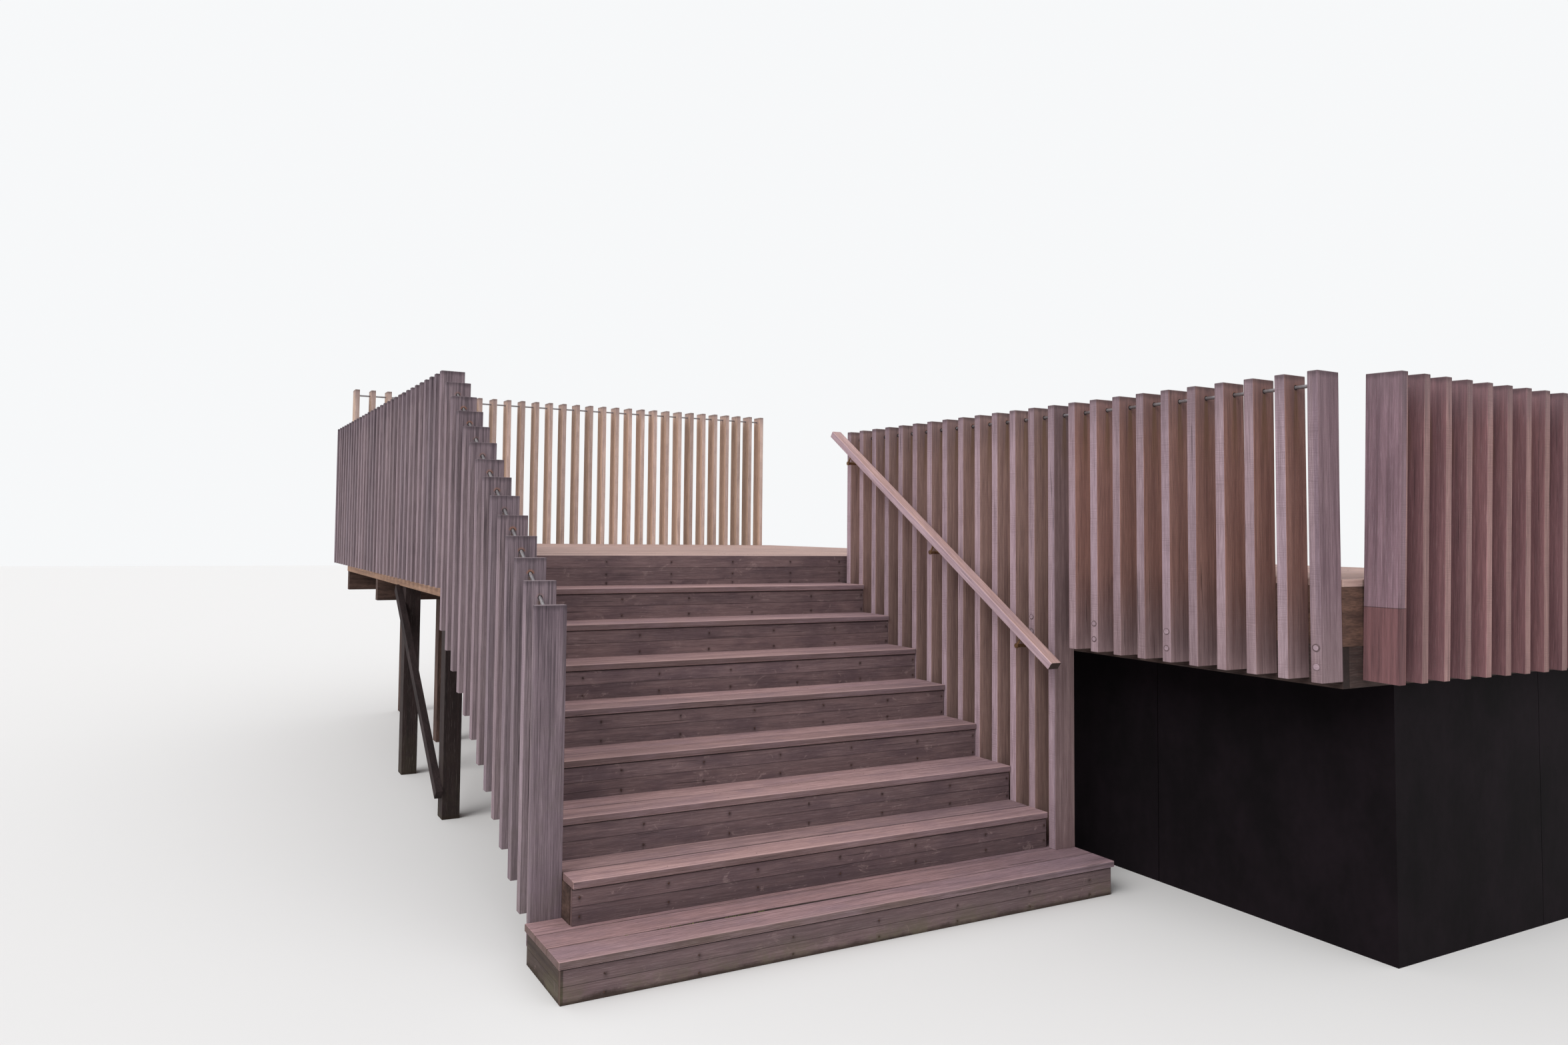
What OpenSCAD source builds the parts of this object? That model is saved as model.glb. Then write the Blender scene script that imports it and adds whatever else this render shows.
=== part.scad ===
/* [Stair flight] */
// Clear width between the two slatted screens
stair_w = 2744; // [1800:2:3400]
// Number of rises above the base step
rise_count = 8; // [6:1:9]
// Height of each rise above the base step
rise = 190; // [170:1:200]
// Height of the base step
base_h = 175; // [150:1:200]
// Distance from the base step's nosing to the next nosing
base_going = 303; // [290:1:330]
// Distance from one nosing to the next
going = 273; // [250:1:300]
// Overhang of each nosing in front of its riser
overhang = 12; // [6:1:25]
// Thickness of the tread and deck boards
board_t = 32; // [22:1:40]
// Gap between neighbouring boards
board_gap = 5; // [3:1:8]
// Thickness of the riser boards
riser_t = 20; // [16:1:25]
// Open joint between the two boards of a riser
riser_joint = 4; // [2:1:8]
// Height of the strip at the foot of the top riser
foot_strip_h = 33; // [25:1:45]
// Height of each full board of the top riser
top_riser_board_h = 76; // [60:1:76]
// Clearance between a tread's end and the screens
tread_clear = 3; // [1:1:8]
// Distance that the base step runs past the left screen
base_left_over = 23; // [3:1:60]
// Distance that the base step runs past the right wall
base_right_over = 3; // [1:1:60]
// Number of stringers between the two outer ones
inner_stringers_n = 4; // [2:1:6]
// Wood left under the steps of a stringer, square to its lower edge
stringer_throat = 134; // [110:1:160]

/* [Framing timber] */
// Thickness of joists, rims, rails and stringers
beam_t = 45; // [38:1:60]
// Depth of the joists and rims
joist_h = 252; // [190:1:290]
// Depth of the bearers under the joists
bearer_h = 178; // [140:1:240]
// Thickness of the wing's front fascia
fascia_t = 20; // [16:1:45]
// Side of the square posts
post_w = 115; // [90:1:150]
// Distance between joist lines
joist_pitch = 527; // [400:1:600]
// Width of the diagonal brace
brace_w = 70; // [60:1:120]
// Height of the brace's foot above the ground
brace_foot = 160; // [80:1:300]
// Distance of the brace's head below the edge beam
brace_head_gap = 20; // [5:1:60]

/* [Deck] */
// Width of the deck boards
deck_board_w = 140; // [90:1:150]
// Number of board rows behind the head of the flight
deck_rows = 31; // [22:1:36]
// Width of the deck to the right of the flight, out to the house
wing_w = 2049; // [1500:1:2600]
// Distance that the wing of the deck reaches forward of the base step's nosing
wing_reach = 1173; // [900:1:1400]
// Distance from the head of the flight to the first post of the left edge
edge_post_y = 466; // [300:1:700]
// Distance between the two posts of the left edge
edge_post_pitch = 1285; // [1000:1:1500]
// Set-back of these posts from the edge beam's face
edge_post_inset = 20; // [0:1:40]

/* [Screens] */
// Thickness of a fin
fin_t = 45; // [35:1:50]
// Depth of a fin, out from the face that it is fixed to
fin_d = 145; // [120:1:170]
// Pitch of the fins in the left screen
left_pitch = 143; // [120:1:180]
// Length of the fins beside the flight
left_fin_len = 1467; // [1200:1:1600]
// Height of the first left fin's foot above the ground
left_fin_foot = 62; // [30:1:100]
// Height of the left screen above the deck
left_screen_h = 1116; // [900:1:1300]
// Drop of the left and rear fins below the deck surface
fin_drop = 197; // [180:1:230]
// Pitch of the fins in the right wall
right_pitch = 142.5; // [120:0.5:180]
// Distance from the wing's front corner to the first right fin
right_first = 3; // [1:1:60]
// Height of the right and front walls above the deck
wall_h = 884; // [800:1:1000]
// Drop of the right and front fins below the deck surface
wall_drop = 431; // [300:1:440]
// Pitch of the fins in the front wall
front_pitch = 164; // [130:1:200]
// Distance from the wing's front corner to the first front fin
front_first = 138; // [100:1:200]
// Outward lean of the front wall over its full height
front_lean = 32; // [0:1:60]
// Pitch of the fins in the rear screen
rear_pitch = 158; // [130:0.5:200]
// Distance from the deck's left edge to the first rear fin
rear_first = 29; // [0:1:60]
// Height of the rear screen above the deck
rear_screen_h = 1541; // [1300:1:1800]
// Diameter of the steel rods through the fins
rod_d = 16; // [10:1:20]
// Distance from the fin tops down to the level rods
rod_drop = 54; // [40:1:100]
// Distance from the fin tops down to the sloping rod
slope_rod_drop = 75; // [50:1:100]
// Distance from the stair side of the left and right fins to their rods
side_rod_off = 78; // [50:1:95]
// Distance from the back of the front fins to their rod
front_rod_off = 65; // [50:1:95]
// Clearance all round a rod in its holes
rod_clear = 0.3; // [0.2:0.1:0.5]

/* [Handrail] */
// Height of the handrail's section, square to its slope
rail_h = 45; // [35:1:80]
// Width of the handrail's section
rail_w = 72; // [40:1:90]
// Radius of the eased edges of the handrail
rail_ease = 5; // [3:1:15]
// Distance from the fins' faces to the middle of the handrail
rail_off = 112; // [80:1:140]
// Height of the handrail's middle above the line of the nosings
rail_rise = 916; // [800:1:1000]
// Distance from the base step's nosing to the lower end of the handrail
rail_start = 150; // [80:1:250]
// Distance from the upper end of the handrail to the head of the flight
rail_stop = 94; // [0:1:150]
// Distance from the handrail's middle down to the bracket arms
bracket_drop = 109; // [90:1:150]
// Diameter of the bracket arms
bracket_d = 20; // [12:1:24]
// Diameter of the boss at the end of a bracket arm
boss_d = 27; // [22:1:34]
// Diameter of the stems between bracket arms and handrail
stem_d = 11; // [8:1:16]
// Length of the saddles under the handrail
saddle_l = 64; // [40:1:90]
// Diameter of the bracket roses
rose_d = 42; // [34:1:44]

/* [Skirt] */
// Set-back of the side skirt behind the wing's side rim
skirt_inset = 400; // [250:1:500]
// Thickness of the skirt sheets
sheet_t = 9; // [6:1:15]
// Width of one skirt sheet
sheet_w = 1200; // [900:1:1250]
// Gap at the joints between skirt sheets
sheet_gap = 4; // [2:1:8]

/* [Hidden] */
$fn = 48;

slope = rise / going;
pitch_angle = atan(slope);
top_step = rise_count + 1;
tread_board = (going + overhang - board_gap) / 2;
tread_len = stair_w - 2 * tread_clear;
// Open joint where the base step's side boards meet its front boards
corner_joint = 1;

// The origin lies on the ground under the base step's front rail, on the flight's centre line.
nose_1 = -(beam_t / 2 + riser_t + overhang);
function nose_y(n) = nose_1 + (n == 1 ? 0 : base_going + (n - 2) * going);
function tread_z(n) = base_h + (n - 1) * rise;
function seat_z(n) = tread_z(n) - board_t;
base_back = nose_1 + 3 * tread_board + 2 * board_gap;
deck_y = nose_y(top_step) + riser_t;
function tooth_y(n) = n < top_step ? nose_y(n) + overhang + riser_t : deck_y;
throat_v = stringer_throat / cos(pitch_angle);
function low_z(y) = seat_z(2) - throat_v + (y - tooth_y(3)) * slope;

half_w = stair_w / 2;
base_x0 = -half_w - fin_d - base_left_over;
base_x1 = half_w + fin_d + base_right_over;
stringer_pitch = (stair_w - beam_t) / (inner_stringers_n + 1);

deck_z = tread_z(top_step);
joist_top = deck_z - board_t;
joist_low = joist_top - joist_h;
bearer_low = joist_low - bearer_h;
deck_pitch = deck_board_w + board_gap;
rear_y = deck_y + deck_rows * deck_pitch - board_gap;
wing_x = half_w + fin_d;
house_x = wing_x + wing_w;
wing_y = nose_1 - wing_reach;
edge_w = 2 * beam_t;
bearer_w = 2 * beam_t;

slope_fins = floor((deck_y - base_back - 1) / left_pitch) + 1;
level_first = base_back + slope_fins * left_pitch;
level_fins = floor((rear_y - fin_t - level_first) / left_pitch) + 1;
function left_fin_y(i) = base_back + i * left_pitch;
function left_foot_z(y) = left_fin_foot + (y - base_back) * slope;

right_y0 = wing_y + right_first;
hung_fins = ceil((nose_y(2) - right_y0) / right_pitch) - 1;
right_fins = floor((deck_y - fin_t - 1 - right_y0) / right_pitch) + 1;
function right_fin_y(j) = right_y0 + j * right_pitch;
function right_foot_z(y) = y < base_back ? base_h : left_foot_z(y);
front_fins_n = floor((house_x - fin_t - wing_x - front_first) / front_pitch) + 1;
rear_x0 = rear_first - half_w;
rear_fins_n = floor((house_x - fin_t - rear_x0) / rear_pitch) + 1;
wall_top = deck_z + wall_h;
left_top = deck_z + left_screen_h;
rear_top = deck_z + rear_screen_h;
wall_low = deck_z - wall_drop;
lean_angle = asin(front_lean / (wall_h + wall_drop));
// The leaning front fins touch the rim's lower edge and the fascia at their own feet.
fascia_y = wing_y + (joist_low - wall_low) * tan(lean_angle);

bearer_span = rear_y - deck_y;
middle_bearer_y = deck_y + bearer_span * 5 / 8;
rear_bearer_y = rear_y - beam_t - bearer_w;
skirt_x = wing_x + skirt_inset;
skirt_y = fascia_y + fascia_t;

rail_x = half_w - rail_off;
rail_y0 = nose_1 + rail_start;
rail_y1 = deck_y - rail_stop;
rail_len = (rail_y1 - rail_y0) / cos(pitch_angle);
function nosing_line_z(y) = tread_z(2) + (y - nose_y(2)) * slope;
function rail_z(y) = nosing_line_z(y) + rail_rise;
// Fins that carry a bracket: one near the top, one half way, one near the foot
bracket_fins = [right_fins - 2, right_fins - 8, right_fins - 13];

grey_wood = [0.60, 0.54, 0.50];
pale_wood = [0.70, 0.63, 0.58];
brown_wood = [0.42, 0.34, 0.28];
dark_wood = [0.30, 0.25, 0.22];
steel = [0.62, 0.60, 0.58];
brass = [0.65, 0.52, 0.30];
black_sheet = [0.07, 0.07, 0.08];

// A rectangular timber from one corner to the opposite one
module timber(a, b) {
    translate(a) cube(b - a);
}

// Two boards one above the other with an open joint, facing forward
module riser_pair(x0, x1, y, z0, z_joint, z1) {
    timber([x0, y, z0], [x1, y + riser_t, z_joint]);
    timber([x0, y, z_joint + riser_joint], [x1, y + riser_t, z1]);
}

module tread(n) {
    for (b = [0, 1]) {
        y = nose_y(n) + b * (tread_board + board_gap);
        timber([-tread_len / 2, y, seat_z(n)], [tread_len / 2, y + tread_board, tread_z(n)]);
    }
}

// Saw-toothed stringer whose left face stands at x
module stringer(x) {
    steps = [for (n = [2 : top_step - 1]) each [[tooth_y(n), seat_z(n)], [tooth_y(n + 1), seat_z(n)]]];
    outline = concat(
        [[base_back, low_z(base_back)], [base_back, base_h], [tooth_y(2), base_h]],
        steps,
        [[deck_y, low_z(deck_y)]]
    );
    translate([x, 0, 0])
        rotate([90, 0, 90])
            linear_extrude(beam_t) polygon(outline);
}

function stringer_x(k) = -half_w + k * stringer_pitch;

module base_step_frame() {
    color(dark_wood) {
        x0 = base_x0 + overhang + riser_t;
        x1 = base_x1 - overhang - riser_t;
        z = seat_z(1);
        timber([x0, -beam_t / 2, 0], [x1, beam_t / 2, z]);
        timber([x0, base_back - beam_t, 0], [x1, base_back, z]);
        for (side = [x0, x1 - beam_t])
            timber([side, beam_t / 2, 0], [side + beam_t, base_back - beam_t, z]);
        for (k = [0 : inner_stringers_n + 1])
            timber([stringer_x(k), beam_t / 2, 0], [stringer_x(k) + beam_t, base_back - beam_t, z]);
    }
}

module base_step_risers() {
    color(brown_wood) {
        z = seat_z(1);
        joint = (z - riser_joint) / 2;
        x0 = base_x0 + overhang;
        x1 = base_x1 - overhang;
        y = nose_1 + overhang + riser_t + corner_joint;
        riser_pair(x0, x1, nose_1 + overhang, 0, joint, z);
        for (side = [x0, x1 - riser_t]) {
            timber([side, y, 0], [side + riser_t, base_back, joint]);
            timber([side, y, joint + riser_joint], [side + riser_t, base_back, z]);
        }
    }
}

module base_step_tread() {
    color(pale_wood)
        for (b = [0 : 2]) {
            y = nose_1 + b * (tread_board + board_gap);
            timber([base_x0, y, seat_z(1)], [base_x1, y + tread_board, base_h]);
        }
}

module left_stringer() { color(dark_wood) stringer(stringer_x(0)); }
module right_stringer() { color(dark_wood) stringer(stringer_x(inner_stringers_n + 1)); }
module inner_stringers() {
    color(dark_wood)
        for (k = [1 : inner_stringers_n]) stringer(stringer_x(k));
}

module stair_risers() {
    color(brown_wood) {
        x = tread_len / 2;
        for (n = [2 : top_step - 1]) {
            foot = n == 2 ? base_h : seat_z(n - 1);
            joint = (tread_z(n - 1) + seat_z(n) - riser_joint) / 2;
            riser_pair(-x, x, nose_y(n) + overhang, foot, joint, seat_z(n));
        }
        y = nose_y(top_step);
        z = tread_z(top_step - 1);
        timber([-x, y, z], [x, y + riser_t, z + foot_strip_h]);
        riser_pair(-x, x, y, deck_z - 2 * top_riser_board_h - riser_joint,
            deck_z - top_riser_board_h - riser_joint, deck_z);
    }
}

module tread_2() { color(pale_wood) tread(2); }
module tread_3() { color(pale_wood) tread(3); }
module tread_4() { color(pale_wood) tread(4); }
module tread_5() { color(pale_wood) tread(5); }
module tread_6() { color(pale_wood) tread(6); }
module tread_7() { color(pale_wood) tread(7); }
module tread_8() { color(pale_wood) tread(8); }

// Straight rod of the given diameter between two points of one upright plane
module rod_along_y(x, y0, z0, y1, z1, d) {
    translate([x, y0, z0])
        rotate([atan2(z1 - z0, y1 - y0) - 90, 0, 0])
            cylinder(d = d, h = norm([y1 - y0, z1 - z0]));
}

left_x = -half_w - fin_d;
left_rod_x = -half_w - side_rod_off;
function left_top_z(y) = left_foot_z(y) + left_fin_len;

module left_slope_bar(d, over) {
    y0 = left_fin_y(0) - over;
    y1 = left_fin_y(slope_fins - 1) + fin_t + over;
    rod_along_y(left_rod_x, y0, left_top_z(y0) - slope_rod_drop, y1, left_top_z(y1) - slope_rod_drop, d);
}

module left_level_bar(d, over) {
    y0 = level_first - over;
    y1 = level_first + (level_fins - 1) * left_pitch + fin_t + over;
    rod_along_y(left_rod_x, y0, left_top - rod_drop, y1, left_top - rod_drop, d);
}

module right_bar(d, over) {
    y1 = right_fin_y(right_fins - 1) + fin_t + over;
    z = wall_top - rod_drop;
    rod_along_y(half_w + side_rod_off, right_y0 - over, z, y1, z, d);
}

module bar_along_x(x0, x1, y, z, d) {
    translate([x0, y, z])
        rotate([0, 90, 0])
            cylinder(d = d, h = x1 - x0);
}

module front_bar(d, over) {
    x0 = wing_x + front_first - over;
    x1 = wing_x + front_first + (front_fins_n - 1) * front_pitch + fin_t + over;
    bar_along_x(x0, x1, wing_y - front_rod_off, wall_top - rod_drop, d);
}

module rear_bar(d, over) {
    x1 = rear_x0 + (rear_fins_n - 1) * rear_pitch + fin_t + over;
    bar_along_x(rear_x0 - over, x1, rear_y + fin_d / 2, rear_top - rod_drop, d);
}

// Leans the front wall outwards about the lower edge of the wing's front rim
module lean_front() {
    translate([0, wing_y, joist_low])
        rotate([lean_angle, 0, 0])
            translate([0, -wing_y, -joist_low])
                children();
}

hole_d = rod_d + 2 * rod_clear;

module left_stair_fins() {
    color(grey_wood)
        difference() {
            for (i = [0 : slope_fins - 1]) {
                y = left_fin_y(i);
                z = left_foot_z(y);
                timber([left_x, y, z], [-half_w, y + fin_t, z + left_fin_len]);
            }
            left_slope_bar(hole_d, 10);
        }
}

module left_deck_fins() {
    color(grey_wood)
        difference() {
            for (i = [0 : level_fins - 1]) {
                y = level_first + i * left_pitch;
                timber([left_x, y, deck_z - fin_drop], [-half_w, y + fin_t, left_top]);
            }
            left_level_bar(hole_d, 10);
        }
}

module right_stair_fins() {
    color(grey_wood)
        difference() {
            for (j = [hung_fins : right_fins - 1]) {
                y = right_fin_y(j);
                timber([half_w, y, right_foot_z(y)], [wing_x, y + fin_t, wall_top]);
            }
            right_bar(hole_d, 10);
        }
}

module right_deck_fins() {
    color(grey_wood)
        difference() {
            for (j = [0 : hung_fins - 1]) {
                y = right_fin_y(j);
                timber([half_w, y, wall_low], [wing_x, y + fin_t, wall_top]);
            }
            right_bar(hole_d, 10);
        }
}

module front_fins() {
    color(grey_wood)
        lean_front()
            difference() {
                for (i = [0 : front_fins_n - 1]) {
                    x = wing_x + front_first + i * front_pitch;
                    timber([x, wing_y - fin_d, wall_low], [x + fin_t, wing_y, wall_top]);
                }
                front_bar(hole_d, 10);
            }
}

module rear_fins() {
    color(grey_wood)
        difference() {
            for (i = [0 : rear_fins_n - 1]) {
                x = rear_x0 + i * rear_pitch;
                timber([x, rear_y, deck_z - fin_drop], [x + fin_t, rear_y + fin_d, rear_top]);
            }
            rear_bar(hole_d, 10);
        }
}

module left_stair_rod() { color(steel) left_slope_bar(rod_d, 0); }
module left_deck_rod() { color(steel) left_level_bar(rod_d, 0); }
module right_rod() { color(steel) right_bar(rod_d, 0); }
module front_rod() { color(steel) lean_front() front_bar(rod_d, 0); }
module rear_rod() { color(steel) rear_bar(rod_d, 0); }

module eased_rectangle(w, h, r) {
    square([w - 2 * r, h], center = true);
    square([w, h - 2 * r], center = true);
    for (x = [r - w / 2, w / 2 - r], y = [r - h / 2, h / 2 - r])
        translate([x, y]) circle(r);
}

module handrail() {
    color(pale_wood)
        translate([rail_x, rail_y0, rail_z(rail_y0)])
            rotate([pitch_angle - 90, 0, 0])
                linear_extrude(rail_len) eased_rectangle(rail_w, rail_h, rail_ease);
}

// Rose on the fin, arm out to a round boss, and a stem square to the slope with a flat saddle
module bracket(y) {
    saddle_t = 5;
    boss_t = 8;
    stem_h = bracket_drop * cos(pitch_angle) - rail_h / 2;
    translate([half_w, y, rail_z(y) - bracket_drop]) {
        rotate([0, -90, 0]) {
            cylinder(d = rose_d, h = 5);
            cylinder(d = bracket_d, h = rail_off);
        }
        translate([boss_t / 2 - rail_off, 0, 0])
            rotate([0, -90, 0]) cylinder(d = boss_d, h = boss_t);
        translate([-rail_off, 0, 0])
            rotate([pitch_angle, 0, 0]) {
                cylinder(d = stem_d, h = stem_h - saddle_t / 2);
                translate([0, 0, stem_h - saddle_t / 2])
                    cube([bracket_d, saddle_l, saddle_t], center = true);
            }
    }
}

module handrail_brackets() {
    color(brass)
        for (j = bracket_fins) bracket(right_fin_y(j) + fin_t / 2);
}

module deck_boards() {
    color(pale_wood)
        for (r = [0 : deck_rows - 1]) {
            y = deck_y + r * deck_pitch;
            timber([-half_w, y, joist_top], [house_x, y + deck_board_w, deck_z]);
        }
}

// Boards of the wing, counted forward from the main deck, the last one cut to width
module wing_boards() {
    rows = ceil((deck_y - wing_y) / deck_pitch);
    color(pale_wood)
        for (r = [1 : rows]) {
            y = deck_y - r * deck_pitch;
            if (y + deck_board_w - wing_y > board_gap)
                timber([wing_x, max(y, wing_y), joist_top], [house_x, y + deck_board_w, deck_z]);
        }
}

inner_left = -half_w + edge_w;
// Least space left between a joist and the rim or ledger beside it
joist_clear = 20;
joist_lines = floor((house_x - beam_t - joist_clear + half_w - beam_t) / joist_pitch);
function joist_x(k) = -half_w + k * joist_pitch;

module deck_joists() {
    color(dark_wood)
        for (k = [1 : joist_lines])
            timber([joist_x(k), deck_y + beam_t, joist_low],
                [joist_x(k) + beam_t, rear_y - beam_t, joist_top]);
}

module wing_joists() {
    color(dark_wood)
        for (k = [1 : joist_lines])
            if (joist_x(k) > wing_x + beam_t + joist_clear)
                timber([joist_x(k), wing_y + beam_t, joist_low], [joist_x(k) + beam_t, deck_y, joist_top]);
}

module deck_rims() {
    color(dark_wood) {
        timber([inner_left, deck_y, joist_low], [house_x - beam_t, deck_y + beam_t, joist_top]);
        timber([inner_left, rear_y - beam_t, joist_low], [house_x - beam_t, rear_y, joist_top]);
    }
}

module left_edge_beam() {
    color(brown_wood) timber([-half_w, deck_y, joist_low], [inner_left, rear_y, joist_top]);
}

module house_ledger() {
    color(dark_wood) timber([house_x - beam_t, wing_y, joist_low], [house_x, rear_y, joist_top]);
}

module wing_side_rim() {
    color(brown_wood) timber([wing_x, wing_y, joist_low], [wing_x + beam_t, deck_y, joist_top]);
}

module wing_front_rim() {
    color(brown_wood)
        timber([wing_x + beam_t, wing_y, joist_low], [house_x - beam_t, wing_y + beam_t, joist_top]);
}

module wing_side_fascia() {
    color(brown_wood) timber([wing_x, fascia_y, bearer_low], [wing_x + beam_t, deck_y, joist_low]);
}

module wing_front_fascia() {
    color(brown_wood)
        timber([wing_x + beam_t, fascia_y, bearer_low], [house_x, fascia_y + fascia_t, joist_low]);
}

module deck_bearers() {
    color(dark_wood) {
        for (y = [deck_y, middle_bearer_y, rear_bearer_y])
            timber([-half_w, y, bearer_low], [house_x, y + bearer_w, joist_low]);
        y = skirt_y + sheet_t;
        timber([skirt_x + sheet_t, y, bearer_low], [house_x, y + bearer_w, joist_low]);
    }
}

module post(x, y, top) {
    timber([x, y, 0], [x + post_w, y + post_w, top]);
}

function edge_post(k) = deck_y + edge_post_y + k * edge_post_pitch;

module edge_posts() {
    color(brown_wood)
        for (k = [0, 1]) post(edge_post_inset - half_w, edge_post(k), joist_low);
}

module inner_posts() {
    color(dark_wood) {
        for (x = [-half_w + joist_pitch, half_w - joist_pitch - post_w, skirt_x + sheet_t, house_x - post_w])
            for (y = [deck_y, middle_bearer_y, rear_bearer_y])
                post(x, y, bearer_low);
        for (x = [skirt_x + sheet_t, house_x - post_w])
            post(x, skirt_y + sheet_t, bearer_low);
    }
}

// Diagonal brace on the outer faces of the two edge posts
module post_brace() {
    y0 = edge_post(0);
    y1 = edge_post(1) + post_w * 1.5;
    foot = [y0, brace_foot];
    head = [y1, joist_low - brace_head_gap];
    run = head - foot;
    along = run / norm(run);
    side = [-along[1], along[0]] * brace_w / 2;
    color(brown_wood)
        translate([edge_post_inset - half_w - beam_t, 0, 0])
            rotate([90, 0, 90])
                linear_extrude(beam_t)
                    polygon([foot - side, head - side, head + side, foot + side]);
}

module side_skirt() {
    run = deck_y - skirt_y;
    sheets = ceil(run / sheet_w);
    color(black_sheet)
        for (s = [0 : sheets - 1])
            timber([skirt_x, skirt_y + s * sheet_w, 0],
                [skirt_x + sheet_t, min(skirt_y + (s + 1) * sheet_w - sheet_gap, deck_y), joist_low]);
}

module front_skirt() {
    x0 = skirt_x + sheet_t;
    run = house_x - x0;
    sheets = ceil(run / sheet_w);
    color(black_sheet)
        for (s = [0 : sheets - 1])
            timber([x0 + s * sheet_w, skirt_y, 0],
                [min(x0 + (s + 1) * sheet_w - sheet_gap, house_x), skirt_y + sheet_t, joist_low]);
}

module skirt_frame() {
    x = skirt_x + sheet_t;
    y0 = skirt_y + sheet_t + post_w;
    y1 = deck_y;
    color(dark_wood) {
        timber([x, y0, 0], [x + post_w, y1, beam_t]);
        timber([x, y0, joist_low - beam_t], [x + post_w, y1, joist_low]);
        for (k = [1 : 3]) {
            y = skirt_y + k * sheet_w - sheet_gap / 2 - beam_t / 2;
            if (y > y0 && y + beam_t < y1)
                timber([x, y, beam_t], [x + post_w, y + beam_t, joist_low - beam_t]);
        }
    }
}

base_step_frame();
base_step_risers();
base_step_tread();
left_stringer();
right_stringer();
inner_stringers();
stair_risers();
tread_2();
tread_3();
tread_4();
tread_5();
tread_6();
tread_7();
tread_8();
left_stair_fins();
left_deck_fins();
right_stair_fins();
right_deck_fins();
front_fins();
rear_fins();
left_stair_rod();
left_deck_rod();
right_rod();
front_rod();
rear_rod();
handrail();
handrail_brackets();
deck_boards();
wing_boards();
deck_joists();
wing_joists();
deck_rims();
left_edge_beam();
house_ledger();
wing_side_rim();
wing_front_rim();
wing_side_fascia();
wing_front_fascia();
deck_bearers();
edge_posts();
inner_posts();
post_brace();
side_skirt();
front_skirt();
skirt_frame();
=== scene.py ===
import math
from functools import partialmethod
import bmesh
import bpy
from mathutils import Matrix, Vector


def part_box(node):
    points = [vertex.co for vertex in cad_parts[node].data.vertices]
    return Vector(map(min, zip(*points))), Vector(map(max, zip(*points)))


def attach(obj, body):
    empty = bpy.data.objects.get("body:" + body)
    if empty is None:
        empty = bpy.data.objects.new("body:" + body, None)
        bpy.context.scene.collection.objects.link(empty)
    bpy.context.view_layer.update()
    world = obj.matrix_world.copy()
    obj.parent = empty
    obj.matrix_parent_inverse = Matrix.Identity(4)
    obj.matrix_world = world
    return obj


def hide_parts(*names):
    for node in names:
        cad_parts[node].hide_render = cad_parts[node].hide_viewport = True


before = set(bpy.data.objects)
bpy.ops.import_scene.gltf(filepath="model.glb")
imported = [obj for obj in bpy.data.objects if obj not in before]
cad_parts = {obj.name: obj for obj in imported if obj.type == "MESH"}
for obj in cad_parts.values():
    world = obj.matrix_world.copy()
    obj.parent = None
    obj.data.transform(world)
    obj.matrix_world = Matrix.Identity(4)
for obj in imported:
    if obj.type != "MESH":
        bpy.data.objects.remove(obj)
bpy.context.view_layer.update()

# The camera stands at the left of the flight's foot, a little over eye height, and looks to the
# right. The picture is the right-hand part of a wider one, which the lens shift gives.
camera_at = Vector((-2.941, -3.8545, 1.867))
camera_yaw = math.radians(25.887)
camera_pitch = math.radians(2.552)
camera_roll = math.radians(0.798)
focal_px = 1521.7
picture_w = 2352
shift_px = (174.4, -57.2)
film_w = 36

lens = bpy.data.cameras.new("Photo camera")
lens.sensor_fit = "HORIZONTAL"
lens.sensor_width = film_w
lens.lens = focal_px * film_w / picture_w
lens.shift_x = shift_px[0] / picture_w
lens.shift_y = shift_px[1] / picture_w
lens.clip_end = 200
camera = bpy.data.objects.new("Photo camera", lens)
camera.matrix_world = (Matrix.Translation(camera_at) @ Matrix.Rotation(-camera_yaw, 4, "Z")
                       @ Matrix.Rotation(math.pi / 2 + camera_pitch, 4, "X")
                       @ Matrix.Rotation(camera_roll, 4, "Z"))
scene = bpy.context.scene
scene.collection.objects.link(camera)
scene.camera = camera
scene.view_settings.view_transform = "Standard"

# The studio is a wide pale floor under an even white surround, with one broad soft lamp high on the
# left, as the daylight falls in the picture, and a weak one from the front.
floor_reach = 45
floor_colour = (0.74, 0.73, 0.72, 1)
lamps = (("Broad key lamp", 2.1, 40, (0.76, 0.22, -0.6)),
         ("Weak front lamp", 0.35, 60, (-0.1, 0.8, -0.3)))


class Wire:
    """What runs from one node to the next. Arithmetic on wires adds maths nodes to their tree."""

    def __init__(self, socket):
        self.socket = socket
        self.tree = socket.id_data

    @property
    def parts(self):
        """The three numbers of a vector."""
        first = node(self.tree, "ShaderNodeSeparateXYZ", {0: self})
        return [Wire(socket) for socket in first.socket.node.outputs]

    def then(self, operation, other=None):
        """One step of arithmetic, on a number or on a vector."""
        feeds = {0: self} if other is None else {0: self, 1: other}
        if not is_vector(self):
            return node(self.tree, "ShaderNodeMath", feeds, operation=operation)
        if operation == "MULTIPLY" and not is_vector(other):
            operation, feeds = "SCALE", {0: self, "Scale": other}
        return node(self.tree, "ShaderNodeVectorMath", feeds, operation=operation)

    def __rsub__(self, other):
        return self * -1.0 + other

    __add__ = partialmethod(then, "ADD")
    __sub__ = partialmethod(then, "SUBTRACT")
    __mul__ = partialmethod(then, "MULTIPLY")
    __truediv__ = partialmethod(then, "DIVIDE")
    __mod__ = partialmethod(then, "MODULO")
    __lt__ = partialmethod(then, "LESS_THAN")
    __gt__ = partialmethod(then, "GREATER_THAN")
    __abs__ = partialmethod(then, "ABSOLUTE")


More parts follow.
